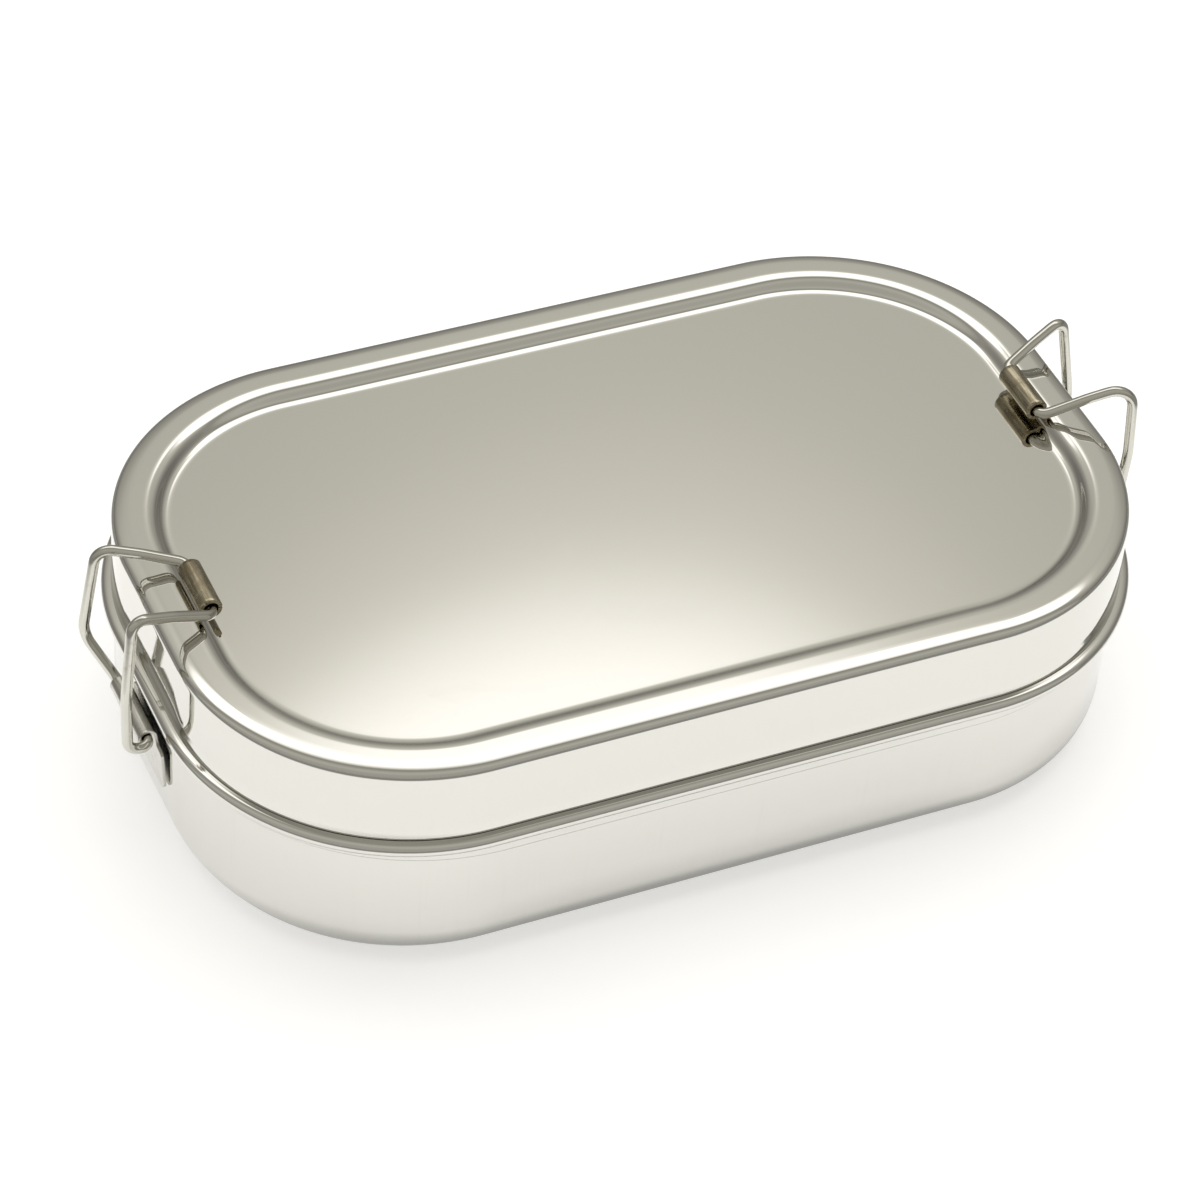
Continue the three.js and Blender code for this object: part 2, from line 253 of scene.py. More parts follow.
# --------------------------------------------------------------------- the lid
def make_lid():
    outer = []  # from the skirt's lower edge up, over and in to the panel
    bottom = HEIGHT - SKIRT_DEPTH - 0.14
    crown, crown_out, tight = math.radians(19), 3.4, 1.85  # the border falls off gently, then turns down
    side_out = tight * (1 - math.sin(crown))
    fall = (crown_out - side_out) * math.tan(crown / 2)
    drop = fall + tight * math.cos(crown)
    # the skirt spreads a little towards its lower edge
    flare = 0.28
    for dz, o in ((0.12, flare), (0.5, 0.21), (1.0, 0.13), (1.5, 0.065), (2.0, 0.02), (2.6, 0.0)):
        outer.append((o, bottom + dz, CORNER_R + o))
    for z in (bottom + 4, bottom + 8, bottom + 12, HEIGHT - drop - 0.5):
        outer.append((0.0, z, CORNER_R))
    for i in range(15):
        a = (math.pi / 2 - crown) * i / 14
        out = -tight + tight * math.cos(a)
        outer.append((out, HEIGHT - drop + tight * math.sin(a), CORNER_R + out))
    for i in range(1, 9):
        t = i / 8
        out = -side_out - (crown_out - side_out) * t
        outer.append((out, HEIGHT - fall * (1 - t) ** 2, CORNER_R + out))
    for inset in (4.2, 5.0, 5.7):
        outer.append((-inset, HEIGHT, CORNER_R - inset))
    for inset, depth in step_line(44):
        outer.append((-inset, HEIGHT - depth, CORNER_R - inset))
    panel = [(-inset, HEIGHT - PANEL_DEPTH, CORNER_R - inset) for inset in (13.0, 15.0)]
    outer += panel
    inner = offset(outer, SHEET)
    # the skirt is trimmed square, and only its corners are eased
    edge = []
    ease = 0.12
    for cx, start in ((flare - SHEET + ease, math.pi), (flare - ease, 1.5 * math.pi)):
        for i in range(4):
            a = start + math.pi / 2 * (i + 0.5) / 4
            o = cx + ease * math.cos(a)
            edge.append((o, bottom + ease + ease * math.sin(a), CORNER_R + o))
    centre_top = inward(outer[-1], 14)
    centre_under = inward(inner[-1], 8)
    profile = centre_under + inner[::-1] + edge + outer + centre_top[::-1]
    return shell("lid_shell", profile)


# ----------------------------------------------------------------------- wires
def rounded(corners, steps=14):
    out = []
    for i, (p, r) in enumerate(corners):
        p = np.array(p, float)
        if not r:
            out.append(p)
            continue
        a, b = np.array(corners[i - 1][0], float), np.array(corners[i + 1][0], float)
        d1, d2 = (a - p) / np.linalg.norm(a - p), (b - p) / np.linalg.norm(b - p)
        half = math.acos(max(-1, min(1, float(d1 @ d2)))) / 2
        cut = r / math.tan(half)
        bis = (d1 + d2) / np.linalg.norm(d1 + d2)
        centre = p + bis * r / math.sin(half)
        f = p + d1 * cut - centre
        e = p + d2 * cut - centre
        axis = np.cross(f, e)
        axis /= np.linalg.norm(axis)
        sweep = math.acos(max(-1, min(1, float(f @ e) / float(np.linalg.norm(f) * np.linalg.norm(e)))))
        for k in range(steps + 1):
            t = sweep * k / steps
            out.append(centre + f * math.cos(t) + np.cross(axis, f) * math.sin(t) + axis * (axis @ f) * (1 - math.cos(t)))
    return np.array(out)


def resample(p, step):
    d = np.r_[0, np.cumsum(np.linalg.norm(np.diff(p, axis=0), axis=1))]
    s = np.linspace(0, d[-1], max(int(round(d[-1] / step)), 2) + 1)
    return np.stack([np.interp(s, d, p[:, k]) for k in range(3)], 1)


def soften(p, step, sigma):
    """Evens the bends of a path, as hand-bent wire has no sudden change of curvature."""
    k = int(math.ceil(3 * sigma / step))
    w = np.exp(-0.5 * (np.arange(-k, k + 1) * step / sigma) ** 2)
    w /= w.sum()
    head = 2 * p[0] - p[1 : k + 1][::-1]
    tail = 2 * p[-1] - p[-k - 1 : -1][::-1]
    q = np.r_[head, p, tail]
    out = np.stack([np.convolve(q[:, c], w, mode="valid") for c in range(3)], 1)
    out[0], out[-1] = p[0], p[-1]
    return out


def bail_half(side, rear, knee):
    v = lambda u, y, depth: (u, side * y, HEIGHT - depth)
    foot = (
        [(v(PIVOT_U, SWEEP_HALF, PIVOT_DEPTH), 2.6), (v(8.9, 13.0, 15.2), 7.0)]
        if rear
        else [
            (v(PIVOT_U, HOOK_HALF, PIVOT_DEPTH), 1.7),
            (v(8.35, HOOK_HALF, PIVOT_DEPTH + 0.4), 2.7),
            (v(8.7, 12.8, 10.5), 30.0),
        ]
    )
    knee_u, knee_half, knee_rise, knee_r = knee
    middle = (
        (knee_u + ROLLER_U) / 2, (knee_half + 8.0) / 2, -(knee_rise + ROLLER_RISE) / 2 - 0.35,
    )
    return rounded([
        (v(PIVOT_U, WIRE_END_HALF, PIVOT_DEPTH), 0),
        *foot,
        (v(knee_u, knee_half, -knee_rise), knee_r),
        (v(*middle), 14.0),
        (v(ROLLER_U, 8.0, -ROLLER_RISE), 2.3),
        (v(ROLLER_U, 0, -ROLLER_RISE), 0),
    ])


def tube(name, path, radius, sides=24):
    """A round wire along a path, with rounded ends, and its length and turn as UV."""
    n = len(path)
    tan = np.zeros_like(path)
    tan[1:-1] = path[2:] - path[:-2]
    tan[0], tan[-1] = path[1] - path[0], path[-1] - path[-2]
    tan /= np.linalg.norm(tan, axis=1, keepdims=True)
    ref = np.cross(tan[0], (0.0, 0.0, 1.0))
    if np.linalg.norm(ref) < 1e-3:
        ref = np.cross(tan[0], (1.0, 0.0, 0.0))
    ref /= np.linalg.norm(ref)
    refs = [ref]
    for i in range(1, n):
        r = refs[-1] - tan[i] * (refs[-1] @ tan[i])
        refs.append(r / np.linalg.norm(r))
    length = np.r_[0, np.cumsum(np.linalg.norm(np.diff(path, axis=0), axis=1))]
    rows = []
    bevel = [(0.0, 0.62), (0.05, 0.83), (0.16, 0.95), (0.32, 1.0)]
    for off, scale in bevel:
        rows.append((path[0] + tan[0] * off * radius * 0.6, tan[0], refs[0], radius * scale, off * radius))
    for i in range(1, n - 1):
        rows.append((path[i], tan[i], refs[i], radius, length[i]))
    for off, scale in reversed(bevel):
        rows.append((path[-1] - tan[-1] * off * radius * 0.6, tan[-1], refs[-1], radius * scale, length[-1] - off * radius))
    verts, uvs, faces = [], [], []
    for c, t, r, rad, s in rows:
        b = np.cross(t, r)
        for k in range(sides + 1):
            a = 2 * math.pi * k / sides
            verts.append(c + (r * math.cos(a) + b * math.sin(a)) * rad)
            uvs.append((s / 100.0, k / sides))
    # the seam's double row of vertices is merged in the mesh, and kept in the UVs
    m = sides
    weld_verts = [v for i, v in enumerate(verts) if i % (sides + 1) != sides]
    for i in range(len(rows) - 1):
        for k in range(m):
            a = i * m + k
            b = i * m + (k + 1) % m
            faces.append((a, b, b + m, a + m))
    faces.append(tuple(reversed(range(m))))
    last = (len(rows) - 1) * m
    faces.append(tuple(last + k for k in range(m)))
    obj = make_object(name, weld_verts, faces)
    layer = obj.data.uv_layers.new(name="UVMap")
    flat = []
    for poly in obj.data.polygons:
        idx = list(poly.vertices)
        ks = [i % m for i in idx]
        wrap = max(ks) - min(ks) > m // 2 and len(idx) == 4
        for i in idx:
            row, k = divmod(i, m)
            kk = k + m if wrap and k < m // 2 else k
            flat += [rows[row][4] / 100.0, kk / m]
    layer.data.foreach_set("uv", flat)
    return obj


def make_bail(name, side):
    """Built about the right end; the left one is turned half round afterwards."""
    knees = KNEES[side]
    if side == "right":
        minus, plus = bail_half(-1, False, knees["near"]), bail_half(1, True, knees["far"])
    else:
        minus, plus = bail_half(-1, True, knees["far"]), bail_half(1, False, knees["near"])
    path = np.r_[minus, plus[::-1][1:]]
    path = soften(resample(path, 0.25), 0.25, 0.55)
    return tube(name, path[::2], WIRE_R)


# ---------------------------------------------------------------------- sleeves
def make_roller(name, seam_angle):
    """A strip of sheet rolled round the wire, its seam at an angle from straight outwards."""
    outer_r, inner_r = ROLLER_R, ROLLER_R - 0.85
    seam = math.radians(seam_angle)
    half_gap = math.radians(4.5)
    n = 72
    h = ROLLER_LENGTH / 2
    rows = [(-h, 0.13), (-h + 0.04, 0.06), (-h + 0.13, 0.0)]
    rows += [(y, 0.0) for y in np.linspace(-h + 0.9, h - 0.9, 13)]
    rows += [(h - 0.13, 0.0), (h - 0.04, 0.06), (h, 0.13)]
    verts, uvs, faces = [], [], []
    per = 2 * (n + 1)
    for y, cut in rows:
        for side in (0, 1):
            for i in range(n + 1):
                t = i / n
                g = half_gap + cut * 0.35
                a = seam + g + (2 * math.pi - 2 * g) * (t if side == 0 else 1 - t)
                # the last of the sheet springs out a little at the seam
                e = min(t, 1 - t)
                lift = -0.05 * max(0.0, 1 - e / 0.06)
                r = (outer_r - cut if side == 0 else inner_r + cut) + lift
                verts.append((ROLLER_U + r * math.cos(a), y, HEIGHT + ROLLER_RISE + r * math.sin(a)))
                uvs.append((y / 20.0, (a - seam) / (2 * math.pi)))
    for k in range(len(rows) - 1):
        a, b = k * per, (k + 1) * per
        for i in range(per):
            j = (i + 1) % per
            faces.append((a + j, a + i, b + i, b + j))
    last = (len(rows) - 1) * per
    for i in range(n):
        o0, o1 = i, i + 1
        i0, i1 = per - 1 - i, per - 2 - i
        faces.append((o0, o1, i1, i0))
        faces.append((last + o1, last + o0, last + i0, last + i1))
    return make_object(name, verts, faces, uvs)


# --------------------------------------------------------------------- brackets
def make_bracket(name):
    """A bent plate: its leaf lies on the wall, and its top is rolled outwards round the wire."""
    z0 = HEIGHT - PIVOT_DEPTH
    mid_r = CURL_R + LEAF_T / 2
    bottom, shoulder = HEIGHT - LEAF_BOTTOM_DEPTH, HEIGHT - LEAF_SHOULDER_DEPTH
    line = []  # the plate's middle, from the leaf's lower edge up: (u, z, thickness)
    t_leaf = t_curl = LEAF_T - 0.03
    for k in range(16):
        f = k / 15
        line.append((0.64 + LEAF_T / 2 + 0.64 * f, bottom + (shoulder - bottom) * f, t_leaf))
    line.append((PIVOT_U - mid_r + 0.02 - 0.1, z0 - 0.7, t_leaf))
    curl = []
    for a in range(180, -116, -8):
        r = math.radians(a)
        curl.append((PIVOT_U + mid_r * math.cos(r), z0 + mid_r * math.sin(r), t_curl))
    line += curl
    path = np.array([(u, 0.0, z) for u, z, t in line])
    thick = np.array([t for u, z, t in line])
    d = np.r_[0, np.cumsum(np.linalg.norm(np.diff(path, axis=0), axis=1))]
    keep = np.r_[True, np.diff(d) > 1e-4]
    path, thick, d = path[keep], thick[keep], d[keep]
    s = np.linspace(0, d[-1], int(d[-1] / 0.28) + 1)
    u = np.interp(s, d, path[:, 0])
    z = np.interp(s, d, path[:, 2])
    t = np.interp(s, d, thick)
    p = soften(np.stack([u, np.zeros_like(u), z], 1), s[1], 0.35)
    u, z = p[:, 0], p[:, 2]
    tu, tz = np.gradient(u), np.gradient(z)
    ln = np.hypot(tu, tz)
    nu, nz = tz / ln, -tu / ln  # to the right of the way up: outward on the leaf
    m = 46
    welds = [(-5.2, 4.6), (5.2, 4.6)]  # y, distance up the leaf
    verts, faces = [], []
    rows = len(s)
    bottom_to_shoulder = shoulder - bottom
    corner, ease = 2.2, 0.9
    for k in range(rows):
        w = LEAF_HALF
        if s[k] < corner:
            w -= corner - math.sqrt(max(corner**2 - (corner - s[k]) ** 2, 0.0))
        # the leaf narrows to the curl over a short rounded shoulder
        rise = (z[k] - (shoulder - ease)) / ease if s[k] < bottom_to_shoulder + 2 else 2.0
        if rise > 0:
            f = min(rise, 1.0)
            w = LEAF_HALF - (LEAF_HALF - CURL_HALF) * (1 - math.sqrt(1 - f**2))
        for side in (1, -1):
            for j in range(m + 1):
                y = w * (2 * j / m - 1)
                o = side * t[k] / 2
                for wy, ws in welds:
                    q = math.hypot(y - wy, s[k] - ws)
                    if side > 0 and q < 1.7:
                        o -= 0.1 * (0.5 + 0.5 * math.cos(math.pi * q / 1.7))
                    elif side > 0 and q < 2.5:
                        o += 0.02 * math.sin(math.pi * (q - 1.7) / 0.8)
                verts.append((u[k] + nu[k] * o, y, z[k] + nz[k] * o))
    per = 2 * (m + 1)
    for k in range(rows - 1):
        a, b = k * per, (k + 1) * per
        for j in range(m):
            faces.append((a + j, a + j + 1, b + j + 1, b + j))  # outer face
            q = m + 1
            faces.append((a + q + j + 1, a + q + j, b + q + j, b + q + j + 1))  # inner face
        faces.append((a + m + 1, a, b, b + m + 1))
        faces.append((a + m, a + 2 * m + 1, b + 2 * m + 1, b + m))
    for j in range(m):
        faces.append((j + 1, j, m + 1 + j, m + 2 + j))
        a = (rows - 1) * per
        faces.append((a + j, a + j + 1, a + m + 2 + j, a + m + 1 + j))
    obj = make_object(name, verts, faces)
    bevel = obj.modifiers.new("edges", "BEVEL")
    bevel.width = 0.09 * MM
    bevel.segments = 2
    bevel.limit_method = "ANGLE"
    bevel.angle_limit = math.radians(50)
    return obj


# -------------------------------------------------------------------- materials
class Nodes:
    """A few short ways to wire a node tree."""

    def __init__(self, tree):
        self.t = tree
        tree.nodes.clear()

    def new(self, kind, **values):
        n = self.t.nodes.new(kind)
        for k, v in values.items():
            if hasattr(n, k):
                setattr(n, k, v)
            else:
                n.inputs[k].default_value = v
        return n

    def link(self, a, b):
        self.t.links.new(a, b)

    def put(self, socket, value):
        if isinstance(value, (int, float)):
            socket.default_value = value
        elif isinstance(value, (tuple, list)):
            socket.default_value = value
        else:
            self.link(value, socket)

    def math(self, op, a, b=None, c=None, clamp=False):
        n = self.t.nodes.new("ShaderNodeMath")
        n.operation = op
        n.use_clamp = clamp
        for i, v in enumerate((a, b, c)):
            if v is not None:
                self.put(n.inputs[i], v)
        return n.outputs[0]

    def ramp(self, value, stops, smooth=True):
        """Map range by smooth steps: stops is (from0, from1, to0, to1)."""
        n = self.t.nodes.new("ShaderNodeMapRange")
        n.interpolation_type = "SMOOTHSTEP" if smooth else "LINEAR"
        n.clamp = True
        self.put(n.inputs["Value"], value)
        for i, v in enumerate(stops):
            n.inputs[1 + i].default_value = v
        return n.outputs["Result"]

    def vmul(self, vec, scale):
        n = self.t.nodes.new("ShaderNodeMapping")
        self.link(vec, n.inputs["Vector"])
        n.inputs["Scale"].default_value = scale
        return n.outputs["Vector"]

    def noise(self, vec, scale, detail=2.0, rough=0.5, distortion=0.0):
        n = self.t.nodes.new("ShaderNodeTexNoise")
        self.link(vec, n.inputs["Vector"])
        n.inputs["Scale"].default_value = scale
        n.inputs["Detail"].default_value = detail
        n.inputs["Roughness"].default_value = rough
        n.inputs["Distortion"].default_value = distortion
        return n.outputs["Fac"]

    def mix(self, fac, a, b):
        n = self.t.nodes.new("ShaderNodeMix")
        n.data_type = "RGBA"
        self.put(n.inputs[0], fac)
        self.put(n.inputs[6], a)
        self.put(n.inputs[7], b)
        return n.outputs[2]

    def bump(self, height, strength, distance, normal=None):
        n = self.t.nodes.new("ShaderNodeBump")
        n.inputs["Strength"].default_value = strength
        n.inputs["Distance"].default_value = distance
        self.link(height, n.inputs["Height"])
        if normal is not None:
            self.link(normal, n.inputs["Normal"])
        return n.outputs["Normal"]


def material(name):
    m = bpy.data.materials.new(name)
    m.use_nodes = True
    k = Nodes(m.node_tree)
    out = k.new("ShaderNodeOutputMaterial")
    bsdf = k.new("ShaderNodeBsdfPrincipled")
    bsdf.inputs["Metallic"].default_value = 1.0
    k.link(bsdf.outputs["BSDF"], out.inputs["Surface"])
    return m, k, bsdf


def polished_steel(name, base, dull, rough_low, rough_high, drawn, wave):
    """Mirror-polished sheet: slight waviness, drawn lines down the walls, smudges and a few specks."""
    m, k, bsdf = material(name)
    co = k.new("ShaderNodeTexCoord").outputs["Object"]
    # smudges left by hands and cloths
    smudge = k.ramp(k.noise(co, 38.0, 4.0, 0.6, 0.6), (0.56, 0.74, 0.0, 1.0))
    fine = k.noise(co, 620.0, 3.0, 0.6)
    # lines the drawing die leaves down the wall: narrow across, long in Z
    lines = k.noise(k.vmul(co, (1.0, 1.0, 0.035)), 900.0, 3.0, 0.7)
    broad = k.noise(k.vmul(co, (1.0, 1.0, 0.06)), 170.0, 2.0, 0.55)
    lines_mask = k.ramp(lines, (0.5, 0.78, 0.0, 1.0))
    # polishing haze: hairlines in two directions
    hair = k.noise(k.vmul(co, (1.0, 0.02, 1.0)), 2600.0, 2.0, 0.6)
    hair_mask = k.ramp(hair, (0.6, 0.8, 0.0, 1.0))
    specks = k.new("ShaderNodeTexVoronoi")
    specks.feature = "F1"
    k.link(co, specks.inputs["Vector"])
    specks.inputs["Scale"].default_value = 85.0
    speck = k.ramp(specks.outputs["Distance"], (0.012, 0.028, 1.0, 0.0))
    rare = k.ramp(k.noise(co, 24.0, 1.0), (0.64, 0.66, 0.0, 1.0))
    speck = k.math("MULTIPLY", speck, rare)
    tint = k.math("ADD", k.math("MULTIPLY", smudge, 0.03), k.math("MULTIPLY", lines_mask, drawn * 0.06), clamp=True)
    tint = k.math("ADD", tint, k.math("MULTIPLY", speck, 0.75), clamp=True)
    k.link(k.mix(tint, (*base, 1.0), (*dull, 1.0)), bsdf.inputs["Base Color"])
    rough = k.math("ADD", k.math("MULTIPLY", fine, 0.012), rough_low)
    rough = k.math("ADD", rough, k.math("MULTIPLY", smudge, rough_high - rough_low))
    rough = k.math("ADD", rough, k.math("MULTIPLY", lines_mask, 0.02 * drawn))
    rough = k.math("ADD", rough, k.math("MULTIPLY", hair_mask, 0.012))
    rough = k.math("ADD", rough, k.math("MULTIPLY", speck, 0.25), clamp=True)
    k.link(rough, bsdf.inputs["Roughness"])
    soft = k.noise(co, 17.0, 1.0, 0.4)
    n = k.bump(soft, 1.0, wave)
    n = k.bump(broad, 1.0, 0.0000009 * drawn, n)
    n = k.bump(lines, 1.0, 0.0000001 * drawn, n)
    k.link(n, bsdf.inputs["Normal"])
    return m


def wire_steel(name):
    """Bright drawn wire: fine lines along its length, dulled where tools gripped it."""
    m, k, bsdf = material(name)
    tc = k.new("ShaderNodeTexCoord")
    along = k.vmul(tc.outputs["UV"], (6.0, 34.0, 1.0))
    lines = k.noise(along, 1.0, 3.0, 0.65)
    marks = k.ramp(k.noise(tc.outputs["Object"], 260.0, 3.0, 0.6), (0.56, 0.7, 0.0, 1.0))
    grip = k.ramp(k.noise(tc.outputs["Object"], 90.0, 2.0), (0.5, 0.66, 0.0, 1.0))
    t = k.math("ADD", k.math("MULTIPLY", lines, 0.35), k.math("MULTIPLY", k.math("MULTIPLY", marks, grip), 0.55), clamp=True)
    k.link(k.mix(t, (0.69, 0.68, 0.625, 1.0), (0.42, 0.405, 0.355, 1.0)), bsdf.inputs["Base Color"])
    r = k.math("ADD", k.math("MULTIPLY", lines, 0.05), 0.075)
    r = k.math("ADD", r, k.math("MULTIPLY", marks, 0.06), clamp=True)
    k.link(r, bsdf.inputs["Roughness"])
    n = k.bump(lines, 1.0, 0.000006)
    n = k.bump(k.noise(tc.outputs["Object"], 420.0, 2.0), 1.0, 0.00001, n)
    k.link(n, bsdf.inputs["Normal"])
    return m


def sleeve_metal(name):
    """Nickel-plated brass strip worn towards bronze, streaked along the sleeve."""
    m, k, bsdf = material(name)
    tc = k.new("ShaderNodeTexCoord")
    streak = k.noise(k.vmul(tc.outputs["UV"], (2.5, 26.0, 1.0)), 1.0, 4.0, 0.65)
    streak_mask = k.ramp(streak, (0.35, 0.65, 0.0, 1.0))
    patch = k.noise(tc.outputs["Object"], 240.0, 4.0, 0.6, 0.4)
    patch_mask = k.ramp(patch, (0.42, 0.64, 0.0, 1.0))
    a = k.mix(streak_mask, (0.29, 0.252, 0.18, 1.0), (0.56, 0.505, 0.375, 1.0))
    k.link(k.mix(k.math("MULTIPLY", patch_mask, 0.6), a, (0.235, 0.185, 0.115, 1.0)), bsdf.inputs["Base Color"])
    r = k.math("ADD", k.math("MULTIPLY", streak, 0.12), 0.13)
    r = k.math("ADD", r, k.math("MULTIPLY", patch_mask, 0.08), clamp=True)
    k.link(r, bsdf.inputs["Roughness"])
    n = k.bump(streak, 1.0, 0.000005)
    n = k.bump(k.noise(tc.outputs["Object"], 900.0, 2.0), 1.0, 0.000002, n)
    k.link(n, bsdf.inputs["Normal"])
    return m


def bracket_steel(name):
    """Plain pressed plate, less polished than the box."""
    m, k, bsdf = material(name)
    tc = k.new("ShaderNodeTexCoord")
    co = tc.outputs["Object"]
    grain = k.noise(k.vmul(co, (1.0, 0.05, 1.0)), 1500.0, 3.0, 0.65)
    patch = k.ramp(k.noise(co, 130.0, 3.0, 0.6), (0.45, 0.7, 0.0, 1.0))
    t = k.math("ADD", k.math("MULTIPLY", patch, 0.35), k.math("MULTIPLY", grain, 0.25), clamp=True)
    k.link(k.mix(t, (0.66, 0.65, 0.61, 1.0), (0.44, 0.43, 0.39, 1.0)), bsdf.inputs["Base Color"])
    r = k.math("ADD", k.math("MULTIPLY", grain, 0.12), 0.16)
    r = k.math("ADD", r, k.math("MULTIPLY", patch, 0.08), clamp=True)
    k.link(r, bsdf.inputs["Roughness"])
    n = k.bump(grain, 1.0, 0.000004)
    n = k.bump(k.noise(co, 210.0, 2.0), 1.0, 0.00002, n)
    k.link(n, bsdf.inputs["Normal"])
    return m


lid_steel = polished_steel("lid_polished_steel", (0.735, 0.727, 0.69), (0.56, 0.55, 0.51), 0.035, 0.06, 0.6, 0.00002)
tray_steel = polished_steel("tray_polished_steel", (0.73, 0.722, 0.688), (0.55, 0.54, 0.505), 0.05, 0.13, 1.0, 0.00004)
wire_mat = wire_steel("drawn_wire_steel")
sleeve_mat = sleeve_metal("worn_sleeve_metal")
bracket_mat = bracket_steel("pressed_bracket_steel")


def finish_piece(obj, mat, body, node):
    obj.data.materials.append(mat)
    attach(obj, body)
    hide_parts(node)


# --------------------------------------------------------------------- assembly
finish_piece(make_tray(), tray_steel, "tray", "tray")
finish_piece(make_lid(), lid_steel, "lid", "lid")


def place(obj, end, y):
    """Moves a clamp piece built about the skirt's middle to its end of the box."""
    turn = Matrix.Rotation(math.pi, 4, "Z") if end < 0 else Matrix.Identity(4)
    obj.data.transform(Matrix.Translation((end * LENGTH / 2 * MM, y * MM, 0)) @ turn)
    obj.data.update()


for end, side in ((1, "right"), (-1, "left")):
    bracket = make_bracket("bracket_plate_" + side)
    place(bracket, end, BRACKET_Y)
    finish_piece(bracket, bracket_mat, "tray", "bracket_" + side)
    bail = make_bail("bail_wire_" + side, side)
    place(bail, end, CLAMP_Y)
    finish_piece(bail, wire_mat, "bail_" + side, "bail_" + side)
    roller = make_roller("roller_sleeve_" + side, 0 if end > 0 else 180)
    place(roller, end, CLAMP_Y)
    finish_piece(roller, sleeve_mat, "roller_" + side, "roller_" + side)

# ------------------------------------------------------------------------ stage
bpy.ops.mesh.primitive_circle_add(vertices=96, radius=4.0, fill_type="NGON", location=(0, 0, -0.0002))
floor = bpy.context.object
floor.name = "floor"
fm = bpy.data.materials.new("floor")
fm.use_nodes = True
fb = fm.node_tree.nodes["Principled BSDF"]
fb.inputs["Base Color"].default_value = (0.62, 0.618, 0.612, 1)
fb.inputs["Roughness"].default_value = 0.9
fb.inputs["Specular IOR Level"].default_value = 0.1
fb.inputs["Emission Color"].default_value = (1.0, 0.995, 0.985, 1)
fb.inputs["Emission Strength"].default_value = 0.53
floor.data.materials.append(fm)

# past a short pale table the room is dim: a card that only reflections see
bpy.ops.mesh.primitive_circle_add(vertices=96, radius=3.0, fill_type="NGON", location=(0, 0, 0.0001))
dim = bpy.context.object
dim.name = "dim_room_card"
dim.visible_camera = dim.visible_diffuse = dim.visible_transmission = dim.visible_shadow = False
dim.visible_volume_scatter = False
dm = bpy.data.materials.new("dim_room_card")
dm.use_nodes = True
dk = Nodes(dm.node_tree)
de = dk.new("ShaderNodeSeparateXYZ")
dk.link(dk.new("ShaderNodeTexCoord").outputs["Object"], de.inputs[0])
across = dk.math("DIVIDE", de.outputs[0], 0.195)
along = dk.math("DIVIDE", de.outputs[1], 0.152)
reach = dk.math("SQRT", dk.math("ADD", dk.math("MULTIPLY", across, across), dk.math("MULTIPLY", along, along)))
glow_out = dk.new("ShaderNodeEmission")
glow_out.inputs["Color"].default_value = (1.0, 0.985, 0.92, 1.0)
glow_out.inputs["Strength"].default_value = 0.3
cover = dk.new("ShaderNodeMixShader")
dk.link(dk.ramp(reach, (0.86, 1.14, 0.0, 1.0)), cover.inputs["Fac"])
dk.link(dk.new("ShaderNodeBsdfTransparent").outputs[0], cover.inputs[1])
dk.link(glow_out.outputs[0], cover.inputs[2])
dk.link(cover.outputs[0], dk.new("ShaderNodeOutputMaterial").inputs["Surface"])
dim.data.materials.append(dm)

# close to the base the table lies in the box's own shade
bpy.ops.mesh.primitive_circle_add(vertices=96, radius=0.16, fill_type="NGON", location=(0, 0, 0.00018))
shade = bpy.context.object
shade.name = "contact_shade_card"
shade.visible_camera = shade.visible_diffuse = shade.visible_transmission = shade.visible_shadow = False
shade.visible_volume_scatter = False
sm = bpy.data.materials.new("contact_shade_card")
sm.use_nodes = True
sk = Nodes(sm.node_tree)
se = sk.new("ShaderNodeSeparateXYZ")
sk.link(sk.new("ShaderNodeTexCoord").outputs["Object"], se.inputs[0])
sx = sk.math("POWER", sk.math("ABSOLUTE", sk.math("DIVIDE", se.outputs[0], 86.0 * MM)), 4.0)
sy = sk.math("POWER", sk.math("ABSOLUTE", sk.math("DIVIDE", se.outputs[1], 61.5 * MM)), 4.0)
near = sk.math("POWER", sk.math("ADD", sx, sy), 0.25)
shade_glow = sk.new("ShaderNodeEmission")
shade_glow.inputs["Color"].default_value = (1.0, 0.99, 0.95, 1.0)
shade_glow.inputs["Strength"].default_value = 0.36
shade_cover = sk.new("ShaderNodeMixShader")
sk.link(sk.ramp(near, (0.93, 1.22, 1.0, 0.0)), shade_cover.inputs["Fac"])
sk.link(sk.new("ShaderNodeBsdfTransparent").outputs[0], shade_cover.inputs[1])
sk.link(shade_glow.outputs[0], shade_cover.inputs[2])
sk.link(shade_cover.outputs[0], sk.new("ShaderNodeOutputMaterial").inputs["Surface"])
shade.data.materials.append(sm)

# camera: position and axes in the object's own frame
AZIMUTH, ELEVATION, ROLL = math.radians(-26.46), math.radians(42.37), math.radians(4.63)
back = Vector((
    math.sin(AZIMUTH) * math.cos(ELEVATION), -math.cos(AZIMUTH) * math.cos(ELEVATION), math.sin(ELEVATION),
))
right0 = (-back).cross(Vector((0, 0, 1))).normalized()
up0 = right0.cross(-back)
right = right0 * math.cos(ROLL) + up0 * math.sin(ROLL)
up = up0 * math.cos(ROLL) - right0 * math.sin(ROLL)
where = back * 889.99 + right * -5.23 + up * -20.92 + Vector((0, 0, HEIGHT))
cam = bpy.data.objects.new("camera", bpy.data.cameras.new("camera"))
bpy.context.scene.collection.objects.link(cam)
cam.matrix_world = Matrix((
    (right.x, up.x, back.x, where.x * MM),
    (right.y, up.y, back.y, where.y * MM),
    (right.z, up.z, back.z, where.z * MM),
    (0, 0, 0, 1),
))
cam.data.lens = 134.4
cam.data.sensor_width = 36
cam.data.clip_start, cam.data.clip_end = 0.05, 20
bpy.context.scene.camera = cam

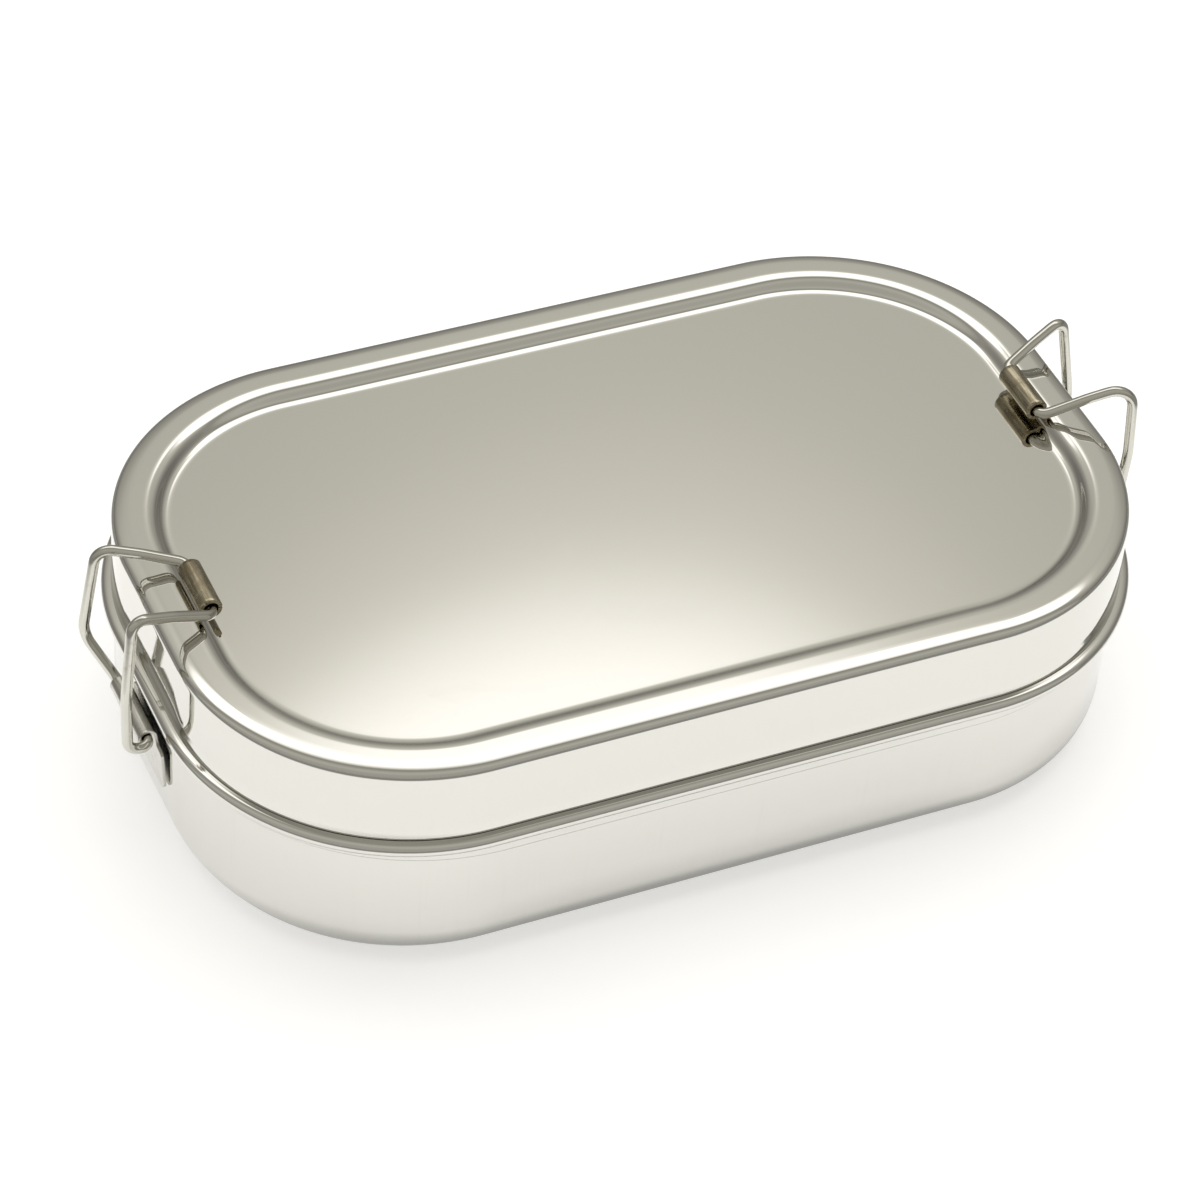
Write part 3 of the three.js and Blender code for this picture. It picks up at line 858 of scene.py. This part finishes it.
# the studio: a wide soft light high behind the box, and a dim warm room round it
world = bpy.data.worlds.new("studio")
bpy.context.scene.world = world
world.use_nodes = True
w = Nodes(world.node_tree)
gen = w.new("ShaderNodeTexCoord").outputs["Generated"]
sep = w.new("ShaderNodeSeparateXYZ")
w.link(gen, sep.inputs[0])
X, Y, Z = sep.outputs
fx, fy = -back.x / math.hypot(back.x, back.y), -back.y / math.hypot(back.x, back.y)
ahead = w.math("ADD", w.math("MULTIPLY", X, fx), w.math("MULTIPLY", Y, fy))
aside = w.math("SUBTRACT", w.math("MULTIPLY", X, fy), w.math("MULTIPLY", Y, fx))
el = w.math("MULTIPLY", w.math("ARCSINE", Z), 180 / math.pi)
az = w.math("MULTIPLY", w.math("ARCTAN2", aside, ahead), 180 / math.pi)
tilt = w.math("MULTIPLY", w.math("ARCTAN2", Z, ahead), 180 / math.pi)  # 0 ahead, 90 overhead, 180 at the front
shift = w.math("SUBTRACT", az, 1.17)
bend = w.ramp(az, (0.5, 1.9, 0.047, 0.055))
sag = w.math("MINIMUM", w.math("MULTIPLY", w.math("MULTIPLY", shift, shift), bend), 6.0)
edge = w.math("SUBTRACT", el, sag)


def levels(value, top, stops):
    """Light levels by direction: linear between the stops, up to top."""
    n = w.new("ShaderNodeValToRGB")
    w.link(w.math("DIVIDE", value, top, clamp=True), n.inputs["Fac"])
    ramp = n.color_ramp
    while len(ramp.elements) < len(stops):
        ramp.elements.new(0.5)
    for e, (at, level) in zip(ramp.elements, stops):
        e.position = at / top
    for e, (at, level) in zip(ramp.elements, stops):
        e.color = (level / 1.6, level / 1.6, level / 1.6, 1.0)
    return w.math("MULTIPLY", n.outputs["Color"], 1.6)


# behind and above: a dim room low down, and the soft lamp from 42 degrees up
behind = levels(edge, 60.0, [
    (0.0, 0.2), (6.0, 0.26), (16.0, 0.33), (26.0, 0.42), (34.0, 0.53), (38.25, 0.585), (39.25, 0.615), (39.75, 0.64),
    (40.25, 0.684), (40.75, 0.725), (41.25, 0.775), (41.75, 0.87), (42.25, 1.05), (42.75, 1.22), (43.3, 1.4), (45.0, 1.55),
])
# past the lamp and down the front
before = levels(tilt, 180.0, [(70.0, 0.33), (92.0, 0.33), (108.0, 0.45), (125.0, 0.52), (145.0, 0.44), (180.0, 0.4)])
past = w.ramp(tilt, (68.0, 85.0, 0.0, 1.0))
lit = w.math("ADD", w.math("MULTIPLY", behind, w.math("SUBTRACT", 1.0, past)), w.math("MULTIPLY", before, past))
colour = w.mix(w.ramp(lit, (0.6, 1.4, 0.0, 1.0)), (1.012, 0.985, 0.888, 1.0), (1.015, 0.99, 0.955, 1.0))
bg = w.new("ShaderNodeBackground")
w.link(colour, bg.inputs["Color"])
w.link(lit, bg.inputs["Strength"])
pale = w.new("ShaderNodeBackground")
pale.inputs["Color"].default_value = (0.93, 0.93, 0.92, 1)
pale.inputs["Strength"].default_value = 1.0
pick = w.new("ShaderNodeMixShader")
w.link(w.new("ShaderNodeLightPath").outputs["Is Camera Ray"], pick.inputs["Fac"])
w.link(bg.outputs[0], pick.inputs[1])
w.link(pale.outputs[0], pick.inputs[2])
w.link(pick.outputs[0], w.new("ShaderNodeOutputWorld").inputs["Surface"])

# a big soft lamp overhead lights the floor
lamp_data = bpy.data.lights.new("overhead_softbox", "AREA")
lamp_data.shape = "RECTANGLE"
lamp_data.size, lamp_data.size_y = 1.8, 1.4
lamp_data.energy = 12.5
lamp_obj = bpy.data.objects.new("overhead_softbox", lamp_data)
lamp_obj.location = (0.05, 0.1, 1.5)
lamp_obj.visible_glossy = False
bpy.context.scene.collection.objects.link(lamp_obj)

bpy.context.scene.view_settings.view_transform = "Standard"
